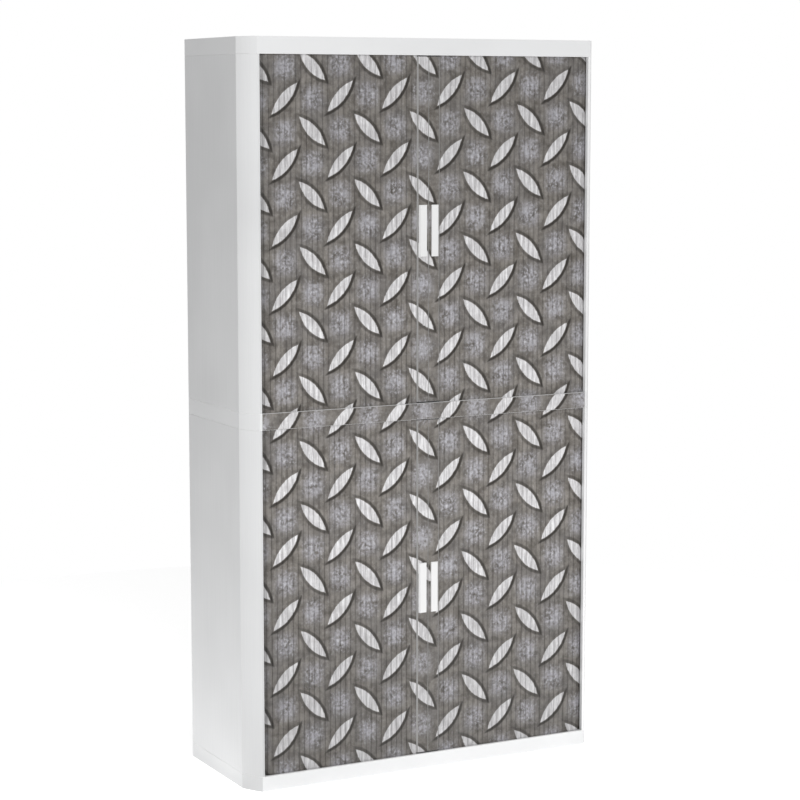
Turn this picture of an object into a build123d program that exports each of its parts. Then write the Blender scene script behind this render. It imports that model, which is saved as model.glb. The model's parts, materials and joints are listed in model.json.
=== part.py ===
from build123d import *
import math
import os

os.makedirs("parts", exist_ok=True)

# Tall roll front cabinet in two stages. Millimetres, +Z up, front faces -Y.
# The origin is the middle of the footprint, on the floor.

# outer form
cabinet_w = 1100.0
cabinet_d = 415.0
cabinet_h = 2040.0
base_h = 42.0            # base plate, stands on the floor
middle_h = 45.0          # plate between the two stages
top_h = 46.0             # top plate
corner_w = 42.0          # width of the front corner columns, seen from the front
corner_d = 60.0          # depth of the columns, seen from the side
lip_flat = 7.0           # front-facing edge of a column
corner_bulge = 3.0       # outward curve of the slanting column face
edge_break = 1.0         # chamfer on the outer edges of the plates
rear_radius = 4.0

# curtain and its track
slat_pitch = 15.85
slat_t = 5.0
slat_count = 33
curtain_recess = 9.0     # curtain face behind the front of the plates
track_r = 46.0           # bend of the track, on its centre line
track_x = 530.0          # side runs of the track
track_rear_y = 188.0     # rear run of the track
track_rear_end = 355.0   # the rear runs stop this far from the middle
groove_w = 7.4
groove_depth = 6.0
slat_engage = 5.0        # how far a slat reaches into each groove

# joint between two slats: a bead on a neck, turning in the socket of the next slat
slat_bevel = 0.7         # on the front, beside each joint
joint_gap = 1.3          # between the edges of two slats
socket_lip = 0.8         # edge of a slat, before its turning point
socket_depth = 2.0
socket_half = 1.6
socket_waist = 0.3       # widest place of the socket, past the turning point
mouth_out = 0.9          # half mouth of the socket, towards the front
mouth_in = 1.25          # towards the back, where the neck leans in a bend
neck_half = 0.4
bead_half = 1.0
hook_reach = 3.4         # tip of the bead, beyond the edge of its slat

# lead bar, its glide shoes and the handle, measured outward from the middle line
lead_gap = 0.75
lead_w = 35.0
lead_proud = 2.5         # face of the bar, in front of the slats
lead_flank = 3.0         # slope from its face down to the slats
lead_rib_w = 8.25
lead_rib_t = 9.5
lead_end_gap = 3.0       # between the end of the bar and the plate
shoe_cap_t = 2.5
shoe_tongue_from = 5.0
shoe_tongue_w = 14.0
shoe_tongue_t = 6.6
handle_from = 7.5
handle_w = 23.5
handle_h = 142.0
handle_proud = 5.0       # in front of the bar
handle_taper = 4.0       # lean of the outer side
handle_round = 2.0       # on the outer edge of its face
handle_break = 0.8

# panels
side_t = 8.0
back_t = 5.0
back_set_in = 2.0        # back panels behind the rear edge of the plates
back_count = 3
fit_gap = 0.3
strip_w = 20.0
strip_t = 1.5
column_t = 3.0
column_tongue = 25.0     # flange of the column, behind the side panel
column_return = 12.5     # depth of the column's inner edge
column_inner_flat = 2.0
rib_t = 3.5              # locating ribs on the plates
rib_h = 8.0
rib_clear_front = 12.0   # from the flange of the column
rib_clear_back = 4.0
liner_t = 4.0
liner_x = 521.5          # middle of the inner side panels
liner_front_y = -140.0
rear_guard_y = 180.5     # middle of the rear guards
rear_guard_end = 345.0
slot_depth = 4.0         # liners plug into the plates
slot_play = 0.2

# underside pockets of the moulded plates and shelves
pocket_columns = 6
pocket_rows = 1
plate_skin = 5.0
plate_web = 4.0
plate_pocket_w = 960.0
plate_pocket_d = 320.0

# shelves and clips
shelf_w = 1034.0
shelf_t = 24.0
shelf_front_y = -165.0
shelf_back_y = 176.0
shelf_skin = 3.0
shelf_web = 3.0
shelf_pocket_columns = 5
shelves_per_stage = 2
levels_per_gap = 3       # clip slots from one shelf to the next
clip_y = (-105.0, 125.0)
clip_w = 11.4
clip_reach = 12.0
clip_ledge_t = 2.5
clip_drop = 12.0
peg_h = 3.4
peg_play = 0.3

film_t = 0.4
film_set_in = 1.0

# derived places
front = -cabinet_d / 2
back = cabinet_d / 2
side = cabinet_w / 2
lip_x = side - corner_w
flat_x = lip_x + lip_flat
crease_y = front + corner_d
wall_h = (cabinet_h - base_h - middle_h - top_h) / 2
lower_z = base_h
middle_z = lower_z + wall_h
upper_z = middle_z + middle_h
top_z = upper_z + wall_h
stages = {"lower": lower_z, "upper": upper_z}
track_front_y = front + curtain_recess + slat_t / 2
slat_front_y = track_front_y - slat_t / 2
lead_front_y = slat_front_y - lead_proud
bend_x = track_x - track_r
bend_y = track_front_y + track_r
shelf_rise = (wall_h - shelves_per_stage * shelf_t) / (shelves_per_stage + 1)
shelf_step = shelf_rise + shelf_t
slot_step = shelf_step / levels_per_gap
back_inner_y = back - back_set_in - back_t
back_outer_y = back - back_set_in
back_span = 2 * (side - side_t - fit_gap)
back_gap = strip_t + 2 * fit_gap
back_w = (back_span - (back_count - 1) * back_gap) / back_count
back_pitch = back_w + back_gap


def polygon(points):
    """Flat face from a closed run of corners."""
    return make_face(Polyline(*points, close=True))


def bar(x_range, y_range, z_range):
    """Rectangular block between three pairs of limits."""
    size = [high - low for low, high in (x_range, y_range, z_range)]
    middle = [(high + low) / 2 for low, high in (x_range, y_range, z_range)]
    return Pos(*middle) * Box(*size)


def bulged(start, end, bulge):
    """Shallow arc from start to end, bulging to the right of the way."""
    chord = Vector(*end) - Vector(*start)
    normal = Vector(chord.Y, -chord.X).normalized()
    middle = (Vector(*start) + Vector(*end)) * 0.5 + normal * bulge
    return ThreePointArc(start, (middle.X, middle.Y), end)


def write(name, solids):
    """Write one sub-part, made of one or more solids."""
    whole = solids if isinstance(solids, list) else [solids]
    pieces = [piece for shape in whole for piece in shape.solids()]
    shape = pieces[0] if len(pieces) == 1 else Compound(children=pieces)
    export_step(shape, f"parts/{name}.step")


def write_pair(name, left):
    """Write a left-hand piece and its mirror image."""
    write(f"left_{name}", left)
    write(f"right_{name}", mirror(left, about=Plane.YZ))


# plates

def plate_outline():
    """Footprint of the cabinet: square at the back, slanting columns in front."""
    right = bulged((flat_x, front), (side, crease_y), corner_bulge)
    left = bulged((-side, crease_y), (-flat_x, front), corner_bulge)
    lines = [
        Line((-flat_x, front), (flat_x, front)),
        right,
        Line((side, crease_y), (side, back)),
        Line((side, back), (-side, back)),
        Line((-side, back), (-side, crease_y)),
        left,
    ]
    face = make_face(lines)
    return fillet(face.vertices().sort_by(Axis.Y)[-2:], rear_radius)


def track_band(width):
    """Band along the track: front run, four bends, sides and two short rear runs."""
    depth = track_rear_y - track_front_y
    grow = width / 2
    outer = RectangleRounded(2 * (track_x + grow), depth + width, track_r + grow)
    inner = RectangleRounded(2 * (track_x - grow), depth - width, track_r - grow)
    ring = Pos(0, (track_rear_y + track_front_y) / 2) * (outer - inner)
    return ring - Pos(0, track_rear_y) * Rectangle(2 * track_rear_end, 2 * width)


def liner_slots():
    """Slots that hold the inner side panels and the rear guards."""
    half = liner_t / 2 + slot_play
    slots = Sketch()
    for hand in (-1, 1):
        low_y = liner_front_y - slot_play
        high_y = rear_guard_y + half
        along = high_y - low_y
        slots += Pos(hand * liner_x, (low_y + high_y) / 2) * Rectangle(2 * half, along)
        across = liner_x - rear_guard_end + slot_play
        middle_x = hand * (rear_guard_end - slot_play + across / 2)
        slots += Pos(middle_x, rear_guard_y) * Rectangle(across, 2 * half)
    return slots


def locating_ribs():
    """Low ribs inside the side and back panels."""
    side_in = side - side_t - 2 * fit_gap
    rear_in = back_inner_y - fit_gap
    rib_front = crease_y + column_tongue + rib_clear_front
    rib_back = track_rear_y - rib_clear_back
    ribs = Sketch()
    for hand in (-1, 1):
        middle_x = hand * (side_in - rib_t / 2)
        ribs += Pos(middle_x, (rib_front + rib_back) / 2) * Rectangle(rib_t, rib_back - rib_front)
    for index in range(back_count):
        middle_x = (index - (back_count - 1) / 2) * back_pitch
        ribs += Pos(middle_x, rear_in - rib_t / 2) * Rectangle(back_w - 2 * strip_w, rib_t)
    return ribs


def pockets(width, depth, height, web, columns, rows):
    """Grid of rectangular pockets, opening downward, with webs between them."""
    pocket_w = (width - (columns - 1) * web) / columns
    pocket_d = (depth - (rows - 1) * web) / rows
    grid = GridLocations(pocket_w + web, pocket_d + web, columns, rows)
    return [place * Box(pocket_w, pocket_d, height) for place in grid]


def plate(z, height, fit_above, fit_below):
    """Moulded plate: flat above, ribbed below, with a track towards each stage."""
    body = extrude(plate_outline(), height)
    outer_edges = body.faces().sort_by(Axis.Z)[0].edges() + body.faces().sort_by(Axis.Z)[-1].edges()
    body = chamfer(outer_edges, edge_break)
    hollow_h = height - plate_skin
    for pocket in pockets(plate_pocket_w, plate_pocket_d, hollow_h, plate_web, pocket_columns, pocket_rows):
        body -= Pos(0, 0, hollow_h / 2) * pocket
    if fit_above:
        body -= Pos(0, 0, height - groove_depth) * extrude(track_band(groove_w), groove_depth)
        body -= Pos(0, 0, height - slot_depth) * extrude(liner_slots(), slot_depth)
        body += Pos(0, 0, height) * extrude(locating_ribs(), rib_h)
    if fit_below:
        body -= extrude(track_band(groove_w), groove_depth)
        body -= extrude(liner_slots(), slot_depth)
        body += Pos(0, 0, -rib_h) * extrude(locating_ribs(), rib_h)
    return Pos(0, 0, z) * body


def middle_plate():
    """Plate between the stages; its front edge is set back for the print film."""
    body = plate(middle_z, middle_h, True, True)
    film_seat = bar((-lip_x, lip_x), (front, front + film_set_in), (middle_z, upper_z))
    return body - film_seat


def print_film():
    """Thin printed film on the front edge of the middle plate."""
    face_y = front + film_set_in
    film_x = lip_x - edge_break
    film_z = (middle_z + edge_break, upper_z - edge_break)
    return bar((-film_x, film_x), (face_y - film_t, face_y), film_z)


# walls

def corner_column(z):
    """Left front column: lip, slanting face, and a flange behind the side panel."""
    panel_in = side - side_t - fit_gap
    flange_in = panel_in - column_t
    inner_x = lip_x + column_t
    lines = [
        Line((-lip_x, front + column_return), (-lip_x, front + edge_break)),
        Line((-lip_x, front + edge_break), (-lip_x - edge_break, front)),
        Line((-lip_x - edge_break, front), (-flat_x, front)),
        bulged((-side, crease_y), (-flat_x, front), corner_bulge),
        Line((-side, crease_y), (-panel_in, crease_y)),
        Line((-panel_in, crease_y), (-panel_in, crease_y + column_tongue)),
        Line((-panel_in, crease_y + column_tongue), (-flange_in, crease_y + column_tongue)),
        Line((-flange_in, crease_y + column_tongue), (-flange_in, crease_y)),
        bulged((-flange_in, crease_y), (-inner_x - column_inner_flat, front + column_t), corner_bulge),
        Line((-inner_x - column_inner_flat, front + column_t), (-inner_x, front + column_t)),
        Line((-inner_x, front + column_t), (-inner_x, front + column_return)),
        Line((-inner_x, front + column_return), (-lip_x, front + column_return)),
    ]
    return Pos(0, 0, z) * extrude(make_face(lines), wall_h)


def side_panel(z):
    """Left outer side panel, from the column to the back edge."""
    panel = bar((-side, -side + side_t), (crease_y + fit_gap, back), (z, z + wall_h))
    rear_edge = panel.edges().filter_by(Axis.Z).sort_by(Axis.Y)[-2:].sort_by(Axis.X)[0]
    return fillet(rear_edge, rear_radius)


def back_panel(z, index):
    """One of the upright back panels of a stage."""
    middle_x = (index - (back_count - 1) / 2) * back_pitch
    return bar((middle_x - back_w / 2, middle_x + back_w / 2), (back_inner_y, back_outer_y), (z, z + wall_h))


def joint_strips(z):
    """H-shaped strips that join the back panels of a stage."""
    web_y = (back_inner_y - fit_gap / 2, back_outer_y + fit_gap / 2)
    strips = []
    for index in range(back_count - 1):
        middle_x = (index - (back_count - 2) / 2) * back_pitch
        flange_x = (middle_x - strip_w / 2, middle_x + strip_w / 2)
        height = (z, z + wall_h)
        strip = bar((middle_x - strip_t / 2, middle_x + strip_t / 2), web_y, height)
        strip += bar(flange_x, (web_y[0] - strip_t, web_y[0]), height)
        strip += bar(flange_x, (web_y[1], web_y[1] + strip_t), height)
        strips.append(strip)
    return strips


def slot_levels(z):
    """Heights of the clip slots on the inner side panels of a stage."""
    first = z + shelf_rise
    last = first + (shelves_per_stage - 1) * shelf_step
    count = round((last - first) / slot_step) + 3
    return [first + (index - 1) * slot_step for index in range(count)]


def inner_side_panel(z):
    """Left inner side panel: hides the parked curtain and carries the shelf clips."""
    wall_x = (-liner_x - liner_t / 2, -liner_x + liner_t / 2)
    seat = slot_depth - slot_play
    panel = bar(wall_x, (liner_front_y, rear_guard_y + liner_t / 2), (z - seat, z + wall_h + seat))
    for level in slot_levels(z):
        for y in clip_y:
            half = clip_w / 2 + peg_play
            peg_z = (level - peg_h - 2 * peg_play, level)
            panel -= bar(wall_x, (y - half, y + half), peg_z)
    return panel


def rear_guard(z):
    """Left guard in front of the rear run of the track."""
    seat = slot_depth - slot_play
    guard_x = (-liner_x + liner_t / 2, -rear_guard_end)
    guard_y = (rear_guard_y - liner_t / 2, rear_guard_y + liner_t / 2)
    return bar(guard_x, guard_y, (z - seat, z + wall_h + seat))


# shelves

def shelf(z):
    """Moulded shelf, flat above and ribbed below."""
    depth = shelf_back_y - shelf_front_y
    body = bar((-shelf_w / 2, shelf_w / 2), (0, depth), (0, shelf_t))
    body = chamfer(body.edges().filter_by(Axis.X).sort_by(Axis.Y)[:2], edge_break)
    inner_w = shelf_w - 4 * shelf_web
    inner_d = depth - 4 * shelf_web
    hollow = shelf_t - shelf_skin
    for pocket in pockets(inner_w, inner_d, hollow, shelf_web, shelf_pocket_columns, pocket_rows):
        body -= Pos(0, depth / 2, hollow / 2) * pocket
    return Pos(0, shelf_front_y, z) * body


def shelf_clips(z):
    """Clips of one stage: a peg in the slot, and a braced ledge under the shelf."""
    wall_in = liner_x - liner_t / 2
    peg_x = wall_in + liner_t
    ledge = polygon([
        (-peg_x, -peg_play),
        (-wall_in, -peg_play),
        (-wall_in, 0),
        (-wall_in + clip_reach, 0),
        (-wall_in + clip_reach, -clip_ledge_t),
        (-wall_in, -clip_drop),
        (-wall_in, -peg_h - peg_play),
        (-peg_x, -peg_h - peg_play),
    ])
    left = extrude(Plane.XZ * ledge, clip_w / 2, both=True)
    clips = []
    for index in range(shelves_per_stage):
        level = z + shelf_rise + index * shelf_step
        for y in clip_y:
            clip = Pos(0, y, level) * left
            clips.append(clip)
            clips.append(mirror(clip, about=Plane.YZ))
    return clips


# curtains

def bead(edge):
    """Corners of the hooked bead on the far edge of a slat."""
    shoulder = edge + hook_reach - bead_half
    return [
        (edge, neck_half),
        (shoulder, bead_half),
        (edge + hook_reach, 0),
        (shoulder, -bead_half),
        (edge, -neck_half),
    ]


def slat_profile():
    """Section of a slat: socket at the near edge, hooked bead at the far edge.

    The socket turns about the origin, and the bead about the next pitch point.
    """
    face = slat_t / 2
    near = -socket_lip
    far = slat_pitch - socket_lip - joint_gap
    return polygon([
        (near, face - slat_bevel),
        (near + slat_bevel, face),
        (far, face),
        *bead(far),
        (far, -face),
        (near, -face),
        (near, -mouth_in),
        (socket_waist, -socket_half),
        (socket_depth, 0),
        (socket_waist, socket_half),
        (near, mouth_out),
    ])


def track_point(run):
    """Point of the left track, this far along it from the middle of the front."""
    bend = track_r * math.pi / 2
    if run <= bend_x:
        return (-run, track_front_y)
    if run <= bend_x + bend:
        turn = (run - bend_x) / track_r
        return (-bend_x - track_r * math.sin(turn), bend_y - track_r * math.cos(turn))
    return (-track_x, bend_y + run - bend_x - bend)


def curtain_slats(z):
    """Left curtain, closed: interlocking slats along the front and into the bend."""
    slat = extrude(slat_profile(), wall_h + 2 * slat_engage)
    first = lead_w + socket_lip + joint_gap
    slats = []
    for index in range(slat_count):
        run = first + index * slat_pitch
        here = track_point(run)
        there = track_point(run + slat_pitch)
        heading = math.degrees(math.atan2(there[1] - here[1], there[0] - here[0]))
        slats.append(Pos(here[0], here[1], z - slat_engage) * Rot(0, 0, heading) * slat)
    return slats


def lead_section(hook):
    """Section of the left lead bar: proud face, stiffening rib and, if asked, the bead."""
    inner_y = track_front_y + slat_t / 2
    rib_y = inner_y + lead_rib_t
    hooked = [(-across, track_front_y - out) for across, out in bead(lead_w)]
    return polygon([
        (-lead_gap, lead_front_y + edge_break),
        (-lead_gap - edge_break, lead_front_y),
        (-lead_w + lead_flank, lead_front_y),
        (-lead_w, slat_front_y),
        *(hooked if hook else []),
        (-lead_w, inner_y),
        (-lead_gap - lead_rib_w, inner_y),
        (-lead_gap - lead_rib_w, rib_y),
        (-lead_gap, rib_y),
    ])


def lead_bar(z):
    """Stiff end bar of the left curtain."""
    height = wall_h - 2 * lead_end_gap
    return Pos(0, 0, z + lead_end_gap) * extrude(lead_section(True), height)


def glide_shoes(z):
    """Shoes on both ends of the left lead bar, each with a tongue in the groove."""
    tongue_x = (-shoe_tongue_from - shoe_tongue_w, -shoe_tongue_from)
    tongue_y = (track_front_y - shoe_tongue_t / 2, track_front_y + shoe_tongue_t / 2)
    cap_low = z + lead_end_gap - shoe_cap_t
    cap_high = z + wall_h - lead_end_gap
    low = Pos(0, 0, cap_low) * extrude(lead_section(False), shoe_cap_t)
    low += bar(tongue_x, tongue_y, (z - slat_engage, cap_low))
    high = Pos(0, 0, cap_high) * extrude(lead_section(False), shoe_cap_t)
    high += bar(tongue_x, tongue_y, (cap_high + shoe_cap_t, z + wall_h + slat_engage))
    return [low, high]


def handle(z):
    """Upright grip on the left lead bar: square inner side, leaning outer side."""
    foot_y = lead_front_y
    near = -handle_from
    far = near - handle_w
    face_y = foot_y - handle_proud
    section = polygon([
        (near, foot_y),
        (near, face_y + handle_break),
        (near - handle_break, face_y),
        (far + handle_taper, face_y),
        (far, foot_y),
    ])
    outer_corner = section.vertices().group_by(Axis.Y)[0].sort_by(Axis.X)[0]
    section = fillet(outer_corner, handle_round)
    grip = extrude(section, handle_h)
    ends = grip.faces().sort_by(Axis.Y)[0].edges().filter_by(Axis.X)
    grip = chamfer(ends, handle_break)
    return Pos(0, 0, z + (wall_h - handle_h) / 2) * grip


# write every sub-part

write("base_plate", plate(0, base_h, True, False))
write("middle_plate", middle_plate())
write("top_plate", plate(top_z, top_h, False, True))
write("middle_print_film", print_film())

for stage, stage_z in stages.items():
    write_pair(f"corner_column_{stage}", corner_column(stage_z))
    write_pair(f"side_panel_{stage}", side_panel(stage_z))
    write_pair(f"inner_side_panel_{stage}", inner_side_panel(stage_z))
    write_pair(f"rear_guard_{stage}", rear_guard(stage_z))
    for index, place in enumerate(("left", "centre", "right")):
        write(f"back_panel_{stage}_{place}", back_panel(stage_z, index))
    write(f"back_joint_strips_{stage}", joint_strips(stage_z))
    for index in range(shelves_per_stage):
        level = stage_z + shelf_rise + index * shelf_step
        write(f"shelf_{stage}_{index + 1}", shelf(level))
    write(f"shelf_clips_{stage}", shelf_clips(stage_z))

    left = curtain_slats(stage_z)
    write(f"left_curtain_slats_{stage}", left)
    write(f"right_curtain_slats_{stage}", [mirror(slat, about=Plane.YZ) for slat in left])
    write_pair(f"lead_bar_{stage}", lead_bar(stage_z))
    write_pair(f"handle_{stage}", handle(stage_z))
    shoes = glide_shoes(stage_z)
    write(f"left_glide_shoes_{stage}", shoes)
    write(f"right_glide_shoes_{stage}", [mirror(shoe, about=Plane.YZ) for shoe in shoes])
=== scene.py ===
import json
import math

import bmesh
import bpy
from mathutils import Matrix, Vector

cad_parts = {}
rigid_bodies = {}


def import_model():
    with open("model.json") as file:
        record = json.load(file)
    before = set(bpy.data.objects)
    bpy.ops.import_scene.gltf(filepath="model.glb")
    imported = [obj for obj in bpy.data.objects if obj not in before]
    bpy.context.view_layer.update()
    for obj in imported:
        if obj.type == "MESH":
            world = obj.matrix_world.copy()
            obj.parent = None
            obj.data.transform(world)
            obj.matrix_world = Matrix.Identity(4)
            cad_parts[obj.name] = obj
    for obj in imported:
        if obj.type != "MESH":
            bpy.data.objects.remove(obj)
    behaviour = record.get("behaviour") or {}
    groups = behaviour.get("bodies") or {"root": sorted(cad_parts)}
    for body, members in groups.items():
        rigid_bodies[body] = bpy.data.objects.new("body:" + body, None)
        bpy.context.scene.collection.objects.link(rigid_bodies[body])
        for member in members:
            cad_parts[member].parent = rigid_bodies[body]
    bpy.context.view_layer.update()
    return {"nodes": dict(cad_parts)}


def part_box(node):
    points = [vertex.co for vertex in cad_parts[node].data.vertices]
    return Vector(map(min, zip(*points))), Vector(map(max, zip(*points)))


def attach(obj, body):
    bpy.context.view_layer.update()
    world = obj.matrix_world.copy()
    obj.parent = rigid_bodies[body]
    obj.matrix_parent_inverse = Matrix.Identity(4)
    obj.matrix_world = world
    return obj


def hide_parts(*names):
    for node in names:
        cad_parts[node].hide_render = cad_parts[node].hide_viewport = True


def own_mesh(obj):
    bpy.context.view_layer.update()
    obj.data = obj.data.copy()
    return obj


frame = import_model()
nodes = frame["nodes"]
stageNames = ("lower", "upper")
handNames = ("left", "right")
white = (1, 1, 1, 1)


# small helpers for node trees

colorSockets = {"factor": 0, "first": 6, "second": 7, "result": 2}      # of a Mix node


def addNode(tree, kind, inputs=None, **settings):
    node = tree.nodes.new(kind)
    for key, value in settings.items():
        setattr(node, key, value)
    for key, value in (inputs or {}).items():
        if isinstance(value, bpy.types.NodeSocket):
            tree.links.new(value, node.inputs[key])
        else:
            node.inputs[key].default_value = value
    return node


def calc(tree, operation, *values):
    return addNode(tree, "ShaderNodeMath", dict(enumerate(values)), operation=operation).outputs[0]


def plus(tree, first, second):
    return calc(tree, "ADD", first, second)


def minus(tree, first, second):
    return calc(tree, "SUBTRACT", first, second)


def times(tree, first, second):
    return calc(tree, "MULTIPLY", first, second)


def over(tree, first, second):
    return calc(tree, "DIVIDE", first, second)


def ramp(tree, value, low, high, toLow=0.0, toHigh=1.0):
    node = addNode(tree, "ShaderNodeMapRange", {
        "Value": value, "From Min": low, "From Max": high, "To Min": toLow, "To Max": toHigh,
    }, interpolation_type="SMOOTHSTEP")
    return node.outputs["Result"]


def mixColor(tree, factor, first, second, blend="MIX"):
    given = {"factor": factor, "first": first, "second": second}
    inputs = {colorSockets[key]: value for key, value in given.items()}
    node = addNode(tree, "ShaderNodeMix", inputs, data_type="RGBA", blend_type=blend)
    return node.outputs[colorSockets["result"]]


def shaded(tree, color, tone):
    return mixColor(tree, 1.0, color, tone, "MULTIPLY")


def noise(tree, vector, scale, detail, rough):
    node = addNode(tree, "ShaderNodeTexNoise", {
        "Vector": vector, "Scale": scale, "Detail": detail, "Roughness": rough,
    })
    return node.outputs["Fac"]


def stretched(tree, vector, scale):
    node = addNode(tree, "ShaderNodeMapping", {"Vector": vector, "Scale": scale})
    return node.outputs["Vector"]


def newMaterial(name):
    material = bpy.data.materials.new(name)
    material.use_nodes = True
    tree = material.node_tree
    return material, tree, tree.nodes["Principled BSDF"]


def connectShader(tree, shader, color, rough, height, look):
    # look holds the bump's strength and depth, and the index of refraction
    bump = addNode(tree, "ShaderNodeBump", {
        "Height": height, "Strength": look["bumpStrength"], "Distance": look["bumpDepth"],
    })
    for socket, value in (("Base Color", color), ("Roughness", rough), ("Normal", bump.outputs[0])):
        tree.links.new(value, shader.inputs[socket])
    shader.inputs["IOR"].default_value = look["ior"]


# camera, light and floor

camera = {
    "place": (-3.0186, -5.7966, 1.8692),
    "turn": 0.48228,             # radians, from looking straight at the front towards the right
    "tilt": -0.12853,
    "lens": 103.906,
    "sensor": 36,
    "farthest": 200,
}

studio = {
    "floorRadius": 2.8,
    "floorCorners": 96,
    "floorColor": (0.92, 0.92, 0.92, 1),
    "floorRough": 0.9,
    "floorGlow": 0.52,
    "ambient": 0.40,             # light that the surroundings give
    "backdrop": 1.0,             # their brightness as the camera sees them
    "lights": (
        # name, place, aimed at, width, height, power
        ("keyLight", (-2.4, -5.8, 3.6), (0, 0, 1.2), 3.0, 3.0, 198),
        ("fillLight", (4.6, -1.0, 3.4), (0.5, 0, 1.0), 2.4, 2.4, 60),
        ("leftBounce", (-0.80, 0.36, 0.012), (-0.80, 0.36, 1.0), 0.42, 1.1, 0.42),
        ("frontBounce", (0.40, -0.62, 0.012), (0.40, -0.62, 1.0), 1.1, 0.50, 1.1),
        ("leftSkirt", (-0.66, -0.05, 0.015), (-0.55, -0.05, 0.01), 0.16, 0.03, 0.013),
    ),
}


def linkObject(name, data):
    obj = bpy.data.objects.new(name, data)
    bpy.context.scene.collection.objects.link(obj)
    return obj


def makeCamera():
    data = bpy.data.cameras.new("camera")
    data.lens = camera["lens"]
    data.sensor_width = camera["sensor"]
    data.clip_end = camera["farthest"]
    obj = linkObject("camera", data)
    obj.location = camera["place"]
    obj.rotation_euler = (math.pi / 2 + camera["tilt"], 0, -camera["turn"])
    bpy.context.scene.camera = obj


def makeLights():
    for name, place, target, width, height, power in studio["lights"]:
        data = bpy.data.lights.new(name, "AREA")
        data.shape = "RECTANGLE"
        data.size = width
        data.size_y = height
        data.energy = power
        obj = linkObject(name, data)
        obj.location = place
        aim = Vector(target) - Vector(place)
        obj.rotation_euler = aim.to_track_quat("-Z", "Y").to_euler()
        obj.visible_camera = False


def makeWorld():
    world = bpy.data.worlds.new("studio")
    bpy.context.scene.world = world
    world.use_nodes = True
    tree = world.node_tree
    tree.nodes.clear()
    lit = addNode(tree, "ShaderNodeBackground", {"Color": white, "Strength": studio["ambient"]})
    seen = addNode(tree, "ShaderNodeBackground", {"Color": white, "Strength": studio["backdrop"]})
    isSeen = addNode(tree, "ShaderNodeLightPath").outputs["Is Camera Ray"]
    mix = addNode(tree, "ShaderNodeMixShader", {0: isSeen, 1: lit.outputs[0], 2: seen.outputs[0]})
    addNode(tree, "ShaderNodeOutputWorld", {"Surface": mix.outputs[0]})


def makeFloor():
    corners = studio["floorCorners"]
    radius = studio["floorRadius"]
    turns = [2 * math.pi * corner / corners for corner in range(corners)]
    rim = [(radius * math.cos(turn), radius * math.sin(turn), 0) for turn in turns]
    mesh = bpy.data.meshes.new("floor")
    mesh.from_pydata(rim, [], [tuple(range(corners))])
    floor = linkObject("floor", mesh)
    material, tree, shader = newMaterial("studioFloor")
    shader.inputs["Base Color"].default_value = studio["floorColor"]
    shader.inputs["Roughness"].default_value = studio["floorRough"]
    shader.inputs["Emission Color"].default_value = white
    shader.inputs["Emission Strength"].default_value = studio["floorGlow"]
    mesh.materials.append(material)


# plastics

plastics = {
    # name: colour, roughness, strength of the grain, its scale, strength of the upright lines
    "shellWhite": ((0.81, 0.815, 0.82), 0.42, 0.10, 900, 0.0),
    "columnWhite": ((0.81, 0.815, 0.82), 0.38, 0.05, 700, 0.35),
    # the lips are the column white with painted shade on the left ones and painted light on the right ones
    "lipWhite": ((0.71, 0.715, 0.72), 0.42, 0.05, 700, 0.35),
    "lipBright": ((0.88, 0.88, 0.88), 0.42, 0.05, 700, 0.35),
    "panelWhite": ((0.79, 0.795, 0.80), 0.45, 0.08, 800, 0.6),
    "innerWhite": ((0.74, 0.74, 0.73), 0.55, 0.10, 700, 0.3),
    "stripGrey": ((0.62, 0.62, 0.62), 0.5, 0.08, 800, 0.3),
    "shelfGrey": ((0.70, 0.705, 0.71), 0.5, 0.14, 600, 0.0),
    "clipGrey": ((0.42, 0.43, 0.44), 0.45, 0.06, 900, 0.0),
    "handleWhite": ((0.84, 0.84, 0.84), 0.22, 0.02, 500, 0.0),
    "slatCore": ((0.70, 0.70, 0.69), 0.5, 0.05, 800, 0.3),
    "glideBlack": ((0.02, 0.02, 0.022), 0.4, 0.08, 900, 0.0),
    # a painted highlight for the soft edges along the seams of the plates
    "seamWhite": ((0.93, 0.93, 0.93), 0.35, 0.03, 900, 0.0),
    "barEdge": ((0.32, 0.315, 0.31), 0.5, 0.05, 800, 0.3),
    "plateEdge": ((0.40, 0.395, 0.39), 0.5, 0.05, 800, 0.0),
}

paintedHeightShade = {
    # name: painted shade, as loss of brightness towards the floor, and painted light, as brightness high up
    "columnWhite": (0.30, 1.12),
    "lipWhite": (0.26, 1.08),
}

moulded = {
    # what all the plastics share; a noise is given by its scale, detail and roughness
    "cloud": (3.0, 2.0, 0.5),
    "cloudTones": (0.955, 1.02),         # of the colour, where the clouds are darkest and lightest
    "cloudRough": 0.03,                  # that the clouds take from the roughness, or add to it
    "grain": (2.0, 0.6),                 # its scale is each plastic's own
    "grainRough": 0.04,
    "span": (0.3, 0.7),                  # of the noise behind clouds and grain, from none to full
    "lines": (260.0, 3.0, 0.6),
    "lineStretch": (1, 1, 0.012),
    "lineSpan": (0.35, 0.65),
    "lineTone": 0.05,
    "lineRelief": 0.25,
    "bumpStrength": 0.35,
    "bumpDepth": 0.0006,
    "ior": 1.5,
}


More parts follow.
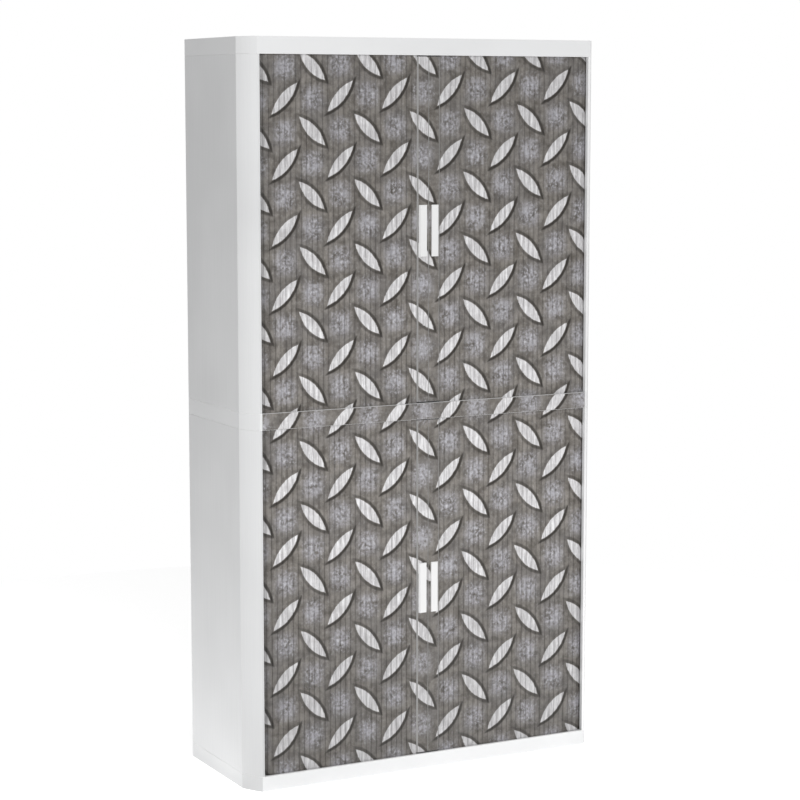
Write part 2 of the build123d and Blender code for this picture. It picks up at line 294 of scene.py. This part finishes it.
def makePlastic(name):
    color, rough, grain, grainScale, lines = plastics[name]
    material, tree, shader = newMaterial(name)
    place = addNode(tree, "ShaderNodeTexCoord").outputs["Object"]
    cloud = noise(tree, place, *moulded["cloud"])
    fine = noise(tree, place, grainScale, *moulded["grain"])
    drawn = noise(tree, stretched(tree, place, moulded["lineStretch"]), *moulded["lines"])

    dark, light = [tuple(part * tone for part in color) + (1,) for tone in moulded["cloudTones"]]
    toned = mixColor(tree, ramp(tree, cloud, *moulded["span"]), dark, light)
    lineTone = 1 - moulded["lineTone"] * lines
    toned = shaded(tree, toned, ramp(tree, drawn, *moulded["lineSpan"], lineTone, 1.0))
    # painted shade towards the floor and painted light high up
    if name in paintedHeightShade:
        loss, high = paintedHeightShade[name]
        up = addNode(tree, "ShaderNodeSeparateXYZ", {0: place}).outputs[2]
        faded = calc(tree, "POWER", math.e, times(tree, up, -1.0))
        toned = shaded(tree, toned, minus(tree, high, times(tree, faded, loss)))

    cloudRough = ramp(tree, cloud, *moulded["span"], -moulded["cloudRough"], moulded["cloudRough"])
    least = rough - moulded["grainRough"]
    most = rough + moulded["grainRough"]
    uneven = plus(tree, cloudRough, ramp(tree, fine, *moulded["span"], least, most))
    height = plus(tree, times(tree, fine, grain), times(tree, drawn, moulded["lineRelief"] * lines))
    connectShader(tree, shader, toned, uneven, height, moulded)
    return material


# measures of the curtains, shared by their print

curtain = {
    "slatPitch": 0.01585,
    "slatThick": 0.005,
    "slatCount": 33,
    "firstRun": 0.0371,          # turning point of the first slat, from the middle line
    "trackY": -0.196,
    "bendStart": 0.484,
    "bendRadius": 0.046,
    "lip": 0.0008,               # a slat begins this far before its turning point
    "gap": 0.0007,               # between a slat and the next
    "engage": 0.005,             # reach of a slat into each groove
    "endRoom": 0.0003,
    "round": 0.0007,             # radius of the front edges
    "roundCut": 0.3,             # part of that radius that the middle of the arc stands in
    "beadSide": ((0, 0.0004), (0.0024, 0.0010), (0.0031, 0.0007)),      # along the slat, and outwards
    "beadTip": 0.0034,
    "socketSide": ((0.0003, 0.0016), (0.0014, 0.0012)),
    "socketFloor": 0.0020,
    "socketMouth": (-0.00125, 0.0009),
    "tailFrom": 30,              # slats that stay in the bend
    "meetAt": 0.5076,            # the rest gathers here, behind the lip of the column
    "gathered": 0.002,
}


# printed tread plate

tread = {
    "pitchAcross": 0.1693,
    "pitchUp": 0.1770,
    "lenses": (
        # middle of one lens, tilt, length, width
        ((0.0658, 1.0110), 46.5, 0.111, 0.0292),
        ((-0.0198, 0.9218), -46.0, 0.110, 0.0302),
    ),
    "wander": 0.0050,                    # width of the square in which the middle of a lens may lie
    "ragged": 0.004,
    "faceSoft": 0.0009,
    "outlineRise": (0.0002, 0.0028),     # from the edge of a lens, where its dark outline grows
    "outlineFall": (0.0118, 0.0064),
    "outline": 0.66,                     # darkness all round
    "outlineLean": (0.40, -0.22),        # more of it towards the right and below
    "sideSoft": 0.003,
    "outlineColor": (0.034, 0.029, 0.024, 1),
    "fields": {
        # noise: scale, detail, roughness, stretch
        "edge": (90.0, 4.0, 0.6, (1, 1, 1)),
        "broad": (9.0, 3.0, 0.55, (1, 1, 1)),
        "patch": (34.0, 5.0, 0.62, (1, 1, 1)),
        "speck": (115.0, 1.6, 0.55, (1.25, 1, 1)),
        "streak": (210.0, 3.0, 0.6, (1, 0.09, 1)),
    },
    "plateGround": ("patch", 0.32, 0.66, (0.112, 0.100, 0.087, 1), (0.236, 0.218, 0.198, 1)),
    "plateLayers": (
        # noise, where it begins and is full, how much it covers, colour
        ("broad", 0.38, 0.68, 0.35, (0.160, 0.155, 0.158, 1)),
        ("speck", 0.42, 0.22, 0.44, (0.085, 0.076, 0.064, 1)),
    ),
    "openSpan": (0.05, -1.15),           # of the waves, from beside the lenses to the open places
    "scuffSpan": (0.34, 0.62),
    "scuffColor": (0.415, 0.410, 0.448, 1),
    "fleckSpan": (0.52, 0.76, 0.0, 0.54),
    "fleckShut": 0.25,                   # share of the flecks beside the lenses
    "fleckColor": (0.62, 0.62, 0.64, 1),
    "faceGround": ("streak", 0.32, 0.68, (0.55, 0.54, 0.55, 1), (0.765, 0.76, 0.77, 1)),
    "faceLayers": (
        ("patch", 0.60, 0.36, 0.45, (0.48, 0.465, 0.47, 1)),
        ("speck", 0.56, 0.76, 0.5, (0.86, 0.86, 0.865, 1)),
    ),
    "tipGleam": 0.25,
    "tipColor": (1, 0.985, 0.975, 1),
    "streakShade": (0.28, 0.72, 0.89, 1.085),
    # painted shade towards the edges of a slat and a painted highlight on its middle
    "slatShade": (0.34, 0.02, 0.96, 1.10),      # towards a slat's edges, on its middle, and the tones
    # painted shade towards the foot of the print
    "footShade": (0.10, 0.80, 0.72, 1.035),     # two heights, and the tone of the print at each
    # painted shade towards the head of the print
    "headShade": (1.15, 2.05, 1.0, 0.86),
    "lipShade": (
        # side, where it is darkest, how far it reaches, how dark: beside the lips of the columns
        (-1, 0.5014, 0.012, 0.50),
        (1, 0.5125, 0.005, 0.30),
    ),
    "middle": 1.018,                     # height about which the print is stretched
    "keystone": (0.037, -0.0065),        # per metre to the right, and upwards
    "lean": (0.0010, 0.0166),
    "nudge": (-0.0009, 0.0051),
    "roughness": (0.3, 0.7, 0.42, 0.58),
    "bumpStrength": 0.12,
    "bumpDepth": 0.0004,
    "ior": 1.48,
}


def printPlace(tree, uv):
    # place on the print, after its slight keystone and lean
    parts = addNode(tree, "ShaderNodeSeparateXYZ", {0: uv}).outputs
    across = parts[0]
    rise = minus(tree, parts[1], tread["middle"])
    keyAcross = times(tree, across, tread["keystone"][0])
    keyUp = times(tree, rise, tread["keystone"][1])
    stretch = plus(tree, plus(tree, keyAcross, keyUp), 1.0)
    leanU = plus(tree, times(tree, rise, tread["lean"][0]), tread["nudge"][0])
    leanV = plus(tree, times(tree, across, tread["lean"][1]), tread["nudge"][1] - tread["middle"])
    u = minus(tree, over(tree, across, stretch), leanU)
    v = minus(tree, over(tree, rise, stretch), leanV)
    return u, v, across


def lensField(tree, u, v, lens):
    # distance from the edge of the nearest lens, below zero inside it; darkness of its outline; its tips
    middle, tilt, length, width = lens
    across = minus(tree, u, middle[0])
    up = minus(tree, v, middle[1])
    column = calc(tree, "ROUND", over(tree, across, tread["pitchAcross"]))
    row = calc(tree, "ROUND", over(tree, up, tread["pitchUp"]))
    cell = addNode(tree, "ShaderNodeCombineXYZ", {0: column, 1: row, 2: tilt}).outputs[0]
    odd = addNode(tree, "ShaderNodeTexWhiteNoise", {"Vector": cell}, noise_dimensions="3D")
    shift = addNode(tree, "ShaderNodeSeparateXYZ", {0: odd.outputs["Color"]}).outputs
    inLens = []
    for place, index, pitch, chance in (
        (across, column, tread["pitchAcross"], shift[0]),
        (up, row, tread["pitchUp"], shift[1]),
    ):
        inCell = minus(tree, place, times(tree, index, pitch))
        inLens.append(plus(tree, inCell, times(tree, minus(tree, chance, 0.5), tread["wander"])))
    c = math.cos(math.radians(tilt))
    s = math.sin(math.radians(tilt))
    along = plus(tree, times(tree, inLens[0], c), times(tree, inLens[1], s))
    aside = minus(tree, times(tree, inLens[1], c), times(tree, inLens[0], s))

    # each long side of a lens is an arc, and the two arcs meet in its tips
    half = width / 2
    radius = ((length / 2) ** 2 + half ** 2) / (2 * half)
    reach = plus(tree, calc(tree, "ABSOLUTE", aside), radius - half)
    far = calc(tree, "SQRT", plus(tree, times(tree, along, along), times(tree, reach, reach)))
    distance = minus(tree, far, radius)

    # the outline is darkest on the side that faces right and down
    side = ramp(tree, aside, -tread["sideSoft"], tread["sideSoft"], -1.0, 1.0)
    turnAlong = over(tree, along, far)
    turnAside = times(tree, side, over(tree, reach, far))
    leanX, leanY = tread["outlineLean"]
    dark = plus(tree, times(tree, turnAlong, leanX * c + leanY * s), tread["outline"])
    dark = plus(tree, dark, times(tree, turnAside, leanY * c - leanX * s))
    return distance, dark, times(tree, turnAlong, turnAlong)


def lensMasks(tree, u, v, edge):
    # the raised faces, their outlines, and the gleam towards their tips
    ragged = times(tree, minus(tree, edge, 0.5), tread["ragged"])
    isFace = 0.0
    isOutline = 0.0
    gleam = 0.0
    for lens in tread["lenses"]:
        distance, dark, tips = lensField(tree, u, v, lens)
        distance = plus(tree, distance, ragged)
        inside = ramp(tree, distance, tread["faceSoft"], -tread["faceSoft"])
        rise = ramp(tree, distance, *tread["outlineRise"])
        fall = ramp(tree, distance, *tread["outlineFall"])
        outline = times(tree, times(tree, rise, fall), dark)
        isFace = calc(tree, "MAXIMUM", isFace, inside)
        isOutline = calc(tree, "MAXIMUM", isOutline, outline)
        gleam = plus(tree, gleam, times(tree, inside, tips))
    return isFace, isOutline, gleam


def openPlaces(tree, u, v):
    # the product of two waves of the lenses' own pitch is lowest in the open places between them
    middle = tread["lenses"][0][0]
    waves = []
    for place, start, pitch in (
        (u, middle[0], tread["pitchAcross"]),
        (v, middle[1], tread["pitchUp"]),
    ):
        turn = times(tree, minus(tree, place, start), 2 * math.pi / pitch)
        waves.append(calc(tree, "COSINE", turn))
    return ramp(tree, times(tree, *waves), *tread["openSpan"])


def layered(tree, fields, ground, layers):
    # two colours mixed by a noise, and further colours over them
    field, low, high, dark, light = ground
    color = mixColor(tree, ramp(tree, fields[field], low, high), dark, light)
    for field, low, high, most, cover in layers:
        color = mixColor(tree, ramp(tree, fields[field], low, high, 0.0, most), color, cover)
    return color


def wornPlate(tree, fields, isOpen, isOutline):
    # warm grey, with pale blue scuffs in the open places and flecks all over
    plate = layered(tree, fields, tread["plateGround"], tread["plateLayers"])
    rubbed = plus(tree, times(tree, fields["patch"], 0.5), times(tree, fields["speck"], 0.5))
    scuff = times(tree, isOpen, ramp(tree, rubbed, *tread["scuffSpan"]))
    plate = mixColor(tree, scuff, plate, tread["scuffColor"])
    share = plus(tree, times(tree, isOpen, 1 - tread["fleckShut"]), tread["fleckShut"])
    fleck = times(tree, ramp(tree, fields["speck"], *tread["fleckSpan"]), share)
    plate = mixColor(tree, fleck, plate, tread["fleckColor"])
    return mixColor(tree, isOutline, plate, tread["outlineColor"])


def polishedFace(tree, fields, gleam):
    # almost bare metal, brushed upwards
    face = layered(tree, fields, tread["faceGround"], tread["faceLayers"])
    return mixColor(tree, times(tree, gleam, tread["tipGleam"]), face, tread["tipColor"])


def paintedSlatShade(tree, across, color):
    # every slat has painted shade towards its edges and a painted highlight on its middle, and the last ones
    # lie in the painted shadow of the lips
    firstEdge = curtain["firstRun"] - curtain["lip"] - curtain["gap"] / 2
    run = minus(tree, calc(tree, "ABSOLUTE", across), firstEdge)
    onSlat = calc(tree, "FRACT", over(tree, run, curtain["slatPitch"]))
    fromMiddle = calc(tree, "ABSOLUTE", minus(tree, onSlat, 0.5))
    color = shaded(tree, color, ramp(tree, fromMiddle, *tread["slatShade"]))
    for side, darkest, reach, depth in tread["lipShade"]:
        near = over(tree, minus(tree, times(tree, across, side), darkest), reach)
        faded = calc(tree, "POWER", math.e, calc(tree, "MINIMUM", near, 0.0))
        color = shaded(tree, color, minus(tree, 1.0, times(tree, faded, depth)))
    return color


def makeTreadPrint(name, onSlats):
    material, tree, shader = newMaterial(name)
    uv = addNode(tree, "ShaderNodeUVMap", uv_map="print").outputs[0]
    fields = {}
    for field, (scale, detail, rough, stretch) in tread["fields"].items():
        fields[field] = noise(tree, stretched(tree, uv, stretch), scale, detail, rough)
    u, v, across = printPlace(tree, uv)
    isFace, isOutline, gleam = lensMasks(tree, u, v, fields["edge"])
    plate = wornPlate(tree, fields, openPlaces(tree, u, v), isOutline)
    color = mixColor(tree, isFace, plate, polishedFace(tree, fields, gleam))
    color = shaded(tree, color, ramp(tree, fields["streak"], *tread["streakShade"]))
    # painted shade towards the foot and the head of the print
    for shade in ("footShade", "headShade"):
        color = shaded(tree, color, ramp(tree, v, *tread[shade]))
    # painted shade and highlight of the slats, and painted shadow beside the lips
    if onSlats:
        color = paintedSlatShade(tree, across, color)
    rough = ramp(tree, fields["speck"], *tread["roughness"])
    connectShader(tree, shader, color, rough, fields["speck"], tread)
    return material


print("stage: light and materials")
makeCamera()
makeWorld()
makeLights()
makeFloor()
finishes = {name: makePlastic(name) for name in plastics}
finishes["treadPrint"] = makeTreadPrint("treadPrint", False)
finishes["treadSlats"] = makeTreadPrint("treadSlats", True)
bpy.context.scene.view_settings.view_transform = "Standard"
bpy.context.scene.view_settings.look = "None"


# copies of the frame's solids with softened edges

softEdge = {
    "mergeWithin": 1e-6,
    "flatWithin": 2.0,           # degrees between faces that are joined into one first
    "sharpFrom": 15.0,           # degrees between faces whose edge is softened
    "segments": 2,
}


def bakeModifiers(obj):
    bpy.context.view_layer.update()
    graph = bpy.context.evaluated_depsgraph_get()
    mesh = bpy.data.meshes.new_from_object(obj.evaluated_get(graph))
    obj.modifiers.clear()
    old = obj.data
    obj.data = mesh
    bpy.data.meshes.remove(old)


def softCopy(node, width, coats, segments=softEdge["segments"]):
    # coats are the finishes of its material slots, in order
    mesh = nodes[node].data.copy()
    mesh.materials.clear()
    work = bmesh.new()
    work.from_mesh(mesh)
    bmesh.ops.remove_doubles(work, verts=work.verts, dist=softEdge["mergeWithin"])
    flat = math.radians(softEdge["flatWithin"])
    bmesh.ops.dissolve_limit(work, angle_limit=flat, verts=work.verts, edges=work.edges)
    work.to_mesh(mesh)
    work.free()
    for key in [a.name for a in mesh.attributes if a.name.startswith("custom_normal")]:
        mesh.attributes.remove(mesh.attributes[key])
    name = node + "_soft"
    mesh.name = name
    obj = linkObject(name, mesh)
    bevel = obj.modifiers.new("softEdge", "BEVEL")
    bevel.width = width
    bevel.segments = segments
    bevel.limit_method = "ANGLE"
    bevel.angle_limit = math.radians(softEdge["sharpFrom"])
    bevel.harden_normals = False
    bakeModifiers(obj)
    obj.data.polygons.foreach_set("use_smooth", [True] * len(obj.data.polygons))
    weighted = obj.modifiers.new("evenShade", "WEIGHTED_NORMAL")
    weighted.keep_sharp = False
    bakeModifiers(obj)
    for coat in coats:
        obj.data.materials.append(finishes[coat])
    return obj


def bodyOf(node):
    return nodes[node].parent.name.replace("body:", "")


# carcass and handles

frontFacing = 0.9        # how far to the front a face's normal points if it is a front face

plates = {
    "names": ("base_plate", "middle_plate", "top_plate"),
    "edge": 0.0006,
    "coats": ("shellWhite", "columnWhite", "seamWhite", "plateEdge"),
    "seamNormal": (0.3, 0.95),   # how far up or down the normals of the soft edges at a seam point
    "cornerNormal": 0.3,         # how far the slanting corners look to the front, and to a side
    "besideFilm": 0.002,
}


def coatPlate(mesh, filmed):
    # the corners like the columns, with their painted shade towards the floor, a painted highlight at each
    # seam, and dark grey on the filmed plate's front faces as wide as the film, which its ribs at the back
    # and its inner walls take too
    low, high = plates["seamNormal"]
    corner = plates["cornerNormal"]
    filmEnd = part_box("middle_print_film")[1].x + plates["besideFilm"]
    for face in mesh.polygons:
        normal = face.normal
        coat = "shellWhite"
        # painted highlight on the soft edges at a seam
        if low < abs(normal.z) < high:
            coat = "seamWhite"
        elif normal.y < -corner and abs(normal.x) > corner:
            coat = "columnWhite"
        elif filmed and normal.y < -frontFacing and abs(face.center.x) < filmEnd:
            coat = "plateEdge"
        face.material_index = plates["coats"].index(coat)


for node in plates["names"]:
    plate = softCopy(node, plates["edge"], plates["coats"])
    coatPlate(plate.data, filmed=node == "middle_plate")
    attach(plate, bodyOf(node))
    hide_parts(node)

columns = {
    "edge": 0.0005,
    # the left lips take the white with painted shade, the right ones the white with painted light
    "lips": {"left": "lipWhite", "right": "lipBright"},
}
sidePanels = {"edge": 0.0006}
handles = {"edge": 0.0009}

for stage in stageNames:
    for hand in handNames:
        node = f"{hand}_corner_column_{stage}"
        coats = ("columnWhite", columns["lips"][hand])
        column = softCopy(node, columns["edge"], coats)
        for face in column.data.polygons:
            isLip = face.normal.y < -frontFacing
            face.material_index = coats.index(columns["lips"][hand] if isLip else "columnWhite")
        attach(column, bodyOf(node))
        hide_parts(node)

        node = f"{hand}_side_panel_{stage}"
        panel = softCopy(node, sidePanels["edge"], ("panelWhite",))
        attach(panel, bodyOf(node))
        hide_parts(node)

        node = f"{hand}_handle_{stage}"
        handle = softCopy(node, handles["edge"], ("handleWhite",))
        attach(handle, bodyOf(node))
        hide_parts(node)
print("stage: carcass softened")

plainFinish = {
    # part of the node's name, the first that fits
    "inner_side_panel": "innerWhite",
    "rear_guard": "innerWhite",
    "back_panel": "panelWhite",
    "back_joint_strips": "stripGrey",
    "shelf_clips": "clipGrey",
    "shelf_": "shelfGrey",
    "glide_shoes": "glideBlack",
}
for name, obj in nodes.items():
    for key, finish in plainFinish.items():
        if key in name:
            obj.data.materials.clear()
            obj.data.materials.append(finishes[finish])
            break


# curtains

stageHeights = {}
for stage in stageNames:
    stageHeights[stage] = [corner.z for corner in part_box(f"left_curtain_slats_{stage}")]


def slatSection(hooked):
    # outline of a slat, from its turning point along it, and outwards from its middle
    near = -curtain["lip"]
    far = curtain["slatPitch"] - curtain["lip"] - curtain["gap"]
    half = curtain["slatThick"] / 2
    r = curtain["round"]
    cut = curtain["roundCut"] * r
    beadSide = [(far + u, out) for u, out in curtain["beadSide"]]
    bead = [*beadSide, (far + curtain["beadTip"], 0), *[(u, -out) for u, out in reversed(beadSide)]]
    inner, outer = curtain["socketMouth"]
    socketSide = curtain["socketSide"]
    return [
        (near, half - r), (near + cut, half - cut), (near + r, half),
        (far - r, half), (far - cut, half - cut), (far, half - r),
        *(bead if hooked else []),
        (far, -half), (near, -half), (near, inner), *[(u, -out) for u, out in socketSide],
        (curtain["socketFloor"], 0), *reversed(socketSide), (near, outer),
    ]


def slatMesh(low, high, hooked):
    # one upright slat: the section runs along +X, and its face looks to -Y
    section = slatSection(hooked)
    count = len(section)
    work = bmesh.new()
    bottom = [work.verts.new((u, -out, low)) for u, out in section]
    top = [work.verts.new((u, -out, high)) for u, out in section]
    for index in range(count):
        after = (index + 1) % count
        work.faces.new((bottom[index], bottom[after], top[after], top[index]))
    work.faces.new(top)
    work.faces.new(list(reversed(bottom)))
    bmesh.ops.recalc_face_normals(work, faces=work.faces)
    mesh = bpy.data.meshes.new("slatPattern")
    work.to_mesh(mesh)
    work.free()
    along = mesh.attributes.new("along", "FLOAT", "POINT")
    along.data.foreach_set("value", [vertex.co.x for vertex in mesh.vertices])
    return mesh


def trackPlace(tree, run, bendStart, bendRadius):
    # straight along the front, then round the corner
    past = calc(tree, "MAXIMUM", minus(tree, run, bendStart), 0.0)
    turn = over(tree, past, bendRadius)
    straight = calc(tree, "MINIMUM", run, bendStart)
    x = plus(tree, straight, times(tree, calc(tree, "SINE", turn), bendRadius))
    y = times(tree, minus(tree, 1.0, calc(tree, "COSINE", turn)), bendRadius)
    return x, y


def addInputs(tree, kinds):
    ids = {}
    for name, kind in kinds.items():
        socket = tree.interface.new_socket(name, in_out="INPUT", socket_type="NodeSocket" + kind)
        ids[name] = socket.identifier
    return ids


def slatRunTree():
    tree = bpy.data.node_groups.new("slatRun", "GeometryNodeTree")
    ids = addInputs(tree, {
        "Slat": "Geometry", "Count": "Int", "First Run": "Float", "Pitch": "Float",
        "Bend Start": "Float", "Bend Radius": "Float", "Track Y": "Float", "Material": "Material",
    })
    tree.interface.new_socket("Curtain", in_out="OUTPUT", socket_type="NodeSocketGeometry")
    given = addNode(tree, "NodeGroupInput").outputs

    # a point for each slat, heading for the next one's turning point
    line = addNode(tree, "GeometryNodeMeshLine", {"Count": given["Count"]}, mode="OFFSET", count_mode="TOTAL")
    index = addNode(tree, "GeometryNodeInputIndex").outputs[0]
    run = plus(tree, given["First Run"], times(tree, index, given["Pitch"]))
    nextRun = plus(tree, run, given["Pitch"])
    x, y = trackPlace(tree, run, given["Bend Start"], given["Bend Radius"])
    nextX, nextY = trackPlace(tree, nextRun, given["Bend Start"], given["Bend Radius"])
    heading = calc(tree, "ARCTAN2", minus(tree, nextY, y), minus(tree, nextX, x))
    place = addNode(tree, "ShaderNodeCombineXYZ", {0: x, 1: plus(tree, y, given["Track Y"])})
    turn = addNode(tree, "ShaderNodeCombineXYZ", {2: heading})
    points = addNode(tree, "GeometryNodeSetPosition", {
        "Geometry": line.outputs[0], "Position": place.outputs[0],
    })
    named = addNode(tree, "GeometryNodeStoreNamedAttribute", {
        "Geometry": points.outputs[0], "Name": "slatRun", "Value": run,
    }, data_type="FLOAT", domain="POINT")
    copies = addNode(tree, "GeometryNodeInstanceOnPoints", {
        "Points": named.outputs[0], "Instance": given["Slat"], "Rotation": turn.outputs[0],
    })
    solid = addNode(tree, "GeometryNodeRealizeInstances", {"Geometry": copies.outputs[0]})

    # the print is laid out flat: distance along the track, and height
    reads = [
        addNode(tree, "GeometryNodeInputNamedAttribute", {"Name": name}, data_type="FLOAT").outputs[0]
        for name in ("slatRun", "along")
    ]
    position = addNode(tree, "GeometryNodeInputPosition").outputs[0]
    height = addNode(tree, "ShaderNodeSeparateXYZ", {0: position}).outputs[2]
    printed = addNode(tree, "ShaderNodeCombineXYZ", {0: plus(tree, *reads), 1: height})
    mapped = addNode(tree, "GeometryNodeStoreNamedAttribute", {
        "Geometry": solid.outputs[0], "Name": "print", "Value": printed.outputs[0],
    }, data_type="FLOAT2", domain="CORNER")
    coated = addNode(tree, "GeometryNodeSetMaterial", {
        "Geometry": mapped.outputs[0], "Material": given["Material"],
    })
    addNode(tree, "NodeGroupOutput", {0: coated.outputs[0]})
    return tree, ids


slatTree, slatInputs = slatRunTree()


def slatRow(name, stage, hand, first, count):
    low, high = stageHeights[stage]
    if first == 0:
        # it slides straight on where the track bends, so it ends just short of the grooves
        low += curtain["engage"] + curtain["endRoom"]
        high -= curtain["engage"] + curtain["endRoom"]
    obj = linkObject(name, slatMesh(low, high, hooked=first > 0))
    modifier = obj.modifiers.new("slats", "NODES")
    modifier.node_group = slatTree
    values = {
        "Count": count,
        "First Run": curtain["firstRun"] + first * curtain["slatPitch"],
        "Pitch": curtain["slatPitch"],
        "Bend Start": curtain["bendStart"],
        "Bend Radius": curtain["bendRadius"],
        "Track Y": curtain["trackY"],
        "Material": finishes["treadSlats"],
    }
    for key, value in values.items():
        modifier[slatInputs[key]] = value
    bakeModifiers(obj)
    mesh = obj.data
    if hand == "left":
        mesh.transform(Matrix.Scale(-1, 4, (1, 0, 0)))
        mesh.flip_normals()
        for corner in mesh.uv_layers["print"].data:
            corner.uv.x = -corner.uv.x
    for key in ("along", "slatRun"):
        if key in mesh.attributes:
            mesh.attributes.remove(mesh.attributes[key])
    return obj


def hangCurtain(hand, stage):
    body = f"{hand}_curtain_{stage}"
    tailFrom = curtain["tailFrom"]

    lead = slatRow(f"{hand}_first_slat_{stage}", stage, hand, 0, 1)
    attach(lead, body)

    main = slatRow(f"{hand}_slats_{stage}", stage, hand, 1, tailFrom - 1)
    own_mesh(main)
    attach(main, "carcass")

    tail = slatRow(f"{hand}_tail_slats_{stage}", stage, hand, tailFrom, curtain["slatCount"] - tailFrom)
    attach(tail, "carcass")

    for piece in (lead, main, tail):
        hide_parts(f"{hand}_curtain_slats_{stage}")


# lead bars and the film on the middle plate

leadBar = {
    "edge": 0.0005,
    "coats": ("treadPrint", "slatCore", "barEdge"),
    "printed": 0.93,         # how far to the front a face's normal points if it is printed
    "slanting": 0.5,
    "atMiddle": 0.01,        # the soft edge nearer than this to the middle line is printed too
}

film = {
    "edge": 0.0001,
    "segments": 1,
}


def printMap(obj):
    # straight map for flat printed pieces, in the same measure as the slats' own
    mesh = obj.data
    layer = mesh.uv_layers.new(name="print")
    for loop in mesh.loops:
        place = mesh.vertices[loop.vertex_index].co
        layer.data[loop.index].uv = (place.x, place.z)


def dressLeadBar(hand, stage):
    node = f"{hand}_lead_bar_{stage}"
    bar = softCopy(node, leadBar["edge"], leadBar["coats"])
    for face in bar.data.polygons:
        slanting = face.normal.y < -leadBar["slanting"]
        atMiddle = abs(face.center.x) < leadBar["atMiddle"]
        coat = "barEdge" if slanting else "slatCore"
        if face.normal.y < -leadBar["printed"] or (slanting and atMiddle):
            coat = "treadPrint"
        face.material_index = leadBar["coats"].index(coat)
    printMap(bar)
    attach(bar, f"{hand}_curtain_{stage}")
    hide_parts(node)


for stage in stageNames:
    for hand in handNames:
        hangCurtain(hand, stage)
        dressLeadBar(hand, stage)

strip = softCopy("middle_print_film", film["edge"], ("treadPrint",), film["segments"])
printMap(strip)
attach(strip, "carcass")
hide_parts("middle_print_film")
print("stage: curtains hung")
